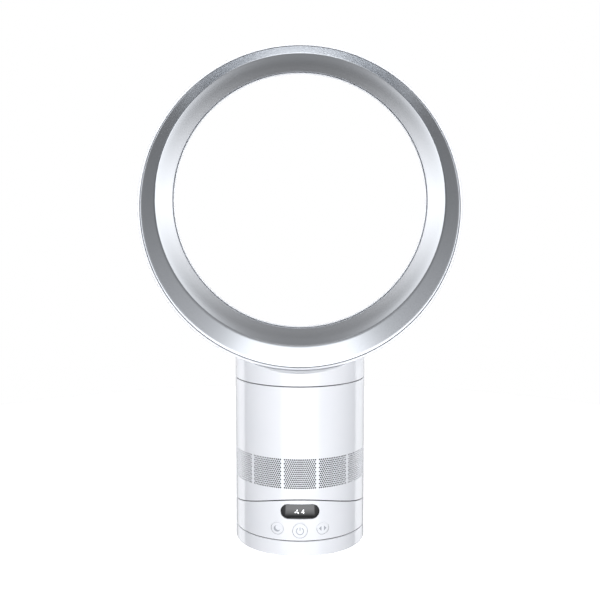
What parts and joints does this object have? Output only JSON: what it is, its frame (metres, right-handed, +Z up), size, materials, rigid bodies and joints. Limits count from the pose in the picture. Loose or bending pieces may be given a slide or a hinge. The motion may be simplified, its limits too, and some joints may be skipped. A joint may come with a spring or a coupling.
{
  "type": "bladeless fan",
  "caption": "Bladeless desk fan: a hollow loop with a silver inner face on a cylindrical body with a perforated air inlet, tilting and oscillating above a round foot.",
  "frame": {"origin": "on the surface the fan stands on, under the middle of the foot", "axes": "+Z up, -Y towards the front with the display and buttons, +X to the right seen from the front"},
  "size_m": [0.3484, 0.147, 0.552],
  "materials": {
    "white_casing": "gloss moulded ABS, white",
    "silver_lacquer": "ABS with a satin metallic silver lacquer",
    "button_white": "satin moulded ABS, white, with printed grey symbols",
    "display_window": "smoked acrylic, polished",
    "rubber": "moulded elastomer",
    "inner_grey": "moulded ABS, grey",
    "inner_white": "moulded ABS, off-white",
    "acetal": "moulded acetal, natural",
    "steel": "zinc-plated steel",
    "laminations": "stamped electrical steel",
    "copper": "enamelled copper wire",
    "circuit_board": "glass-epoxy board with solder resist",
    "foam": "open-cell foam",
    "impeller_grey": "glass-filled nylon"
  },
  "bodies": {
    "foot": {"foot_shell": "white_casing", "foot_base_plate": "steel", "rubber_foot_1": "rubber", "rubber_foot_2": "rubber", "rubber_foot_3": "rubber", "rubber_foot_4": "rubber", "foot_screw_1": "steel", "foot_screw_2": "steel", "foot_screw_3": "steel", "foot_screw_4": "steel", "oscillation_spigot": "acetal", "thrust_washer": "acetal", "glide_ring": "acetal", "sun_gear": "acetal", "retaining_ring": "steel", "cord_gland": "rubber"},
    "base": {"base_shell": "white_casing", "turntable_floor": "inner_grey", "cradle_plate": "white_casing", "cradle_rail_left": "acetal", "cradle_rail_right": "acetal", "control_board": "circuit_board", "tact_switch_power": "inner_grey", "tact_switch_sleep": "inner_grey", "tact_switch_oscillation": "inner_grey", "display_module": "inner_grey", "display_window": "display_window", "stepper_motor": "steel"},
    "pinion": {"drive_pinion": "acetal", "pinion_shaft": "steel"},
    "power_button": {"power_button": "button_white"},
    "sleep_button": {"sleep_button": "button_white"},
    "oscillation_button": {"oscillation_button": "button_white"},
    "body": {"body_sleeve": "white_casing", "body_floor": "white_casing", "tilt_runner_left": "acetal", "tilt_runner_right": "acetal", "motor_board": "circuit_board", "bellmouth": "inner_white", "isolation_ring": "rubber", "impeller_duct": "inner_white", "motor_bucket": "inner_grey", "bucket_cover": "inner_grey", "motor_stator": "laminations", "motor_windings": "copper", "bearing_lower": "steel", "bearing_upper": "steel", "silencing_foam": "foam", "lock_collar": "inner_white", "neck_seal": "rubber"},
    "rotor": {"impeller": "impeller_grey", "motor_shaft": "steel", "rotor_core": "laminations"},
    "loop": {"loop_neck": "white_casing", "loop_outer_shell": "white_casing", "loop_inner_shell": "silver_lacquer"}
  },
  "joints": [
    {"name": "oscillation", "type": "hinge", "parent": "foot", "child": "base", "pos_m": [0, 0, 0.02], "axis": [0, 0, 1], "range_deg": [-45, 45]},
    {"name": "pinion_spin", "type": "hinge", "parent": "base", "child": "pinion", "pos_m": [0, 0.0378, 0.027], "axis": [0, 0, 1], "range_deg": [-181, 181]},
    {"name": "tilt", "type": "hinge", "parent": "base", "child": "body", "pos_m": [0, 0, 0.2238], "axis": [1, 0, 0], "range_deg": [-10, 10]},
    {"name": "rotor_spin", "type": "hinge", "parent": "body", "child": "rotor", "pos_m": [0, 0, 0.147], "axis": [0, 0, 1], "continuous": true},
    {"name": "loop_twist", "type": "hinge", "parent": "body", "child": "loop", "pos_m": [0, 0, 0.189], "axis": [0, 0, 1], "range_deg": [0, 20]},
    {"name": "power_press", "type": "slide", "parent": "base", "child": "power_button", "axis": [0, 1, 0], "range_m": [0, 0.001], "stiffness_N_per_m": 400, "springref_m": -0.002},
    {"name": "sleep_press", "type": "slide", "parent": "base", "child": "sleep_button", "axis": [0, 1, 0], "range_m": [0, 0.001], "stiffness_N_per_m": 400, "springref_m": -0.002},
    {"name": "oscillation_press", "type": "slide", "parent": "base", "child": "oscillation_button", "axis": [0, 1, 0], "range_m": [0, 0.001], "stiffness_N_per_m": 400, "springref_m": -0.002}
  ],
  "couplings": [
    {"joint": "pinion_spin", "follows": "oscillation", "ratio": 4}
  ]
}
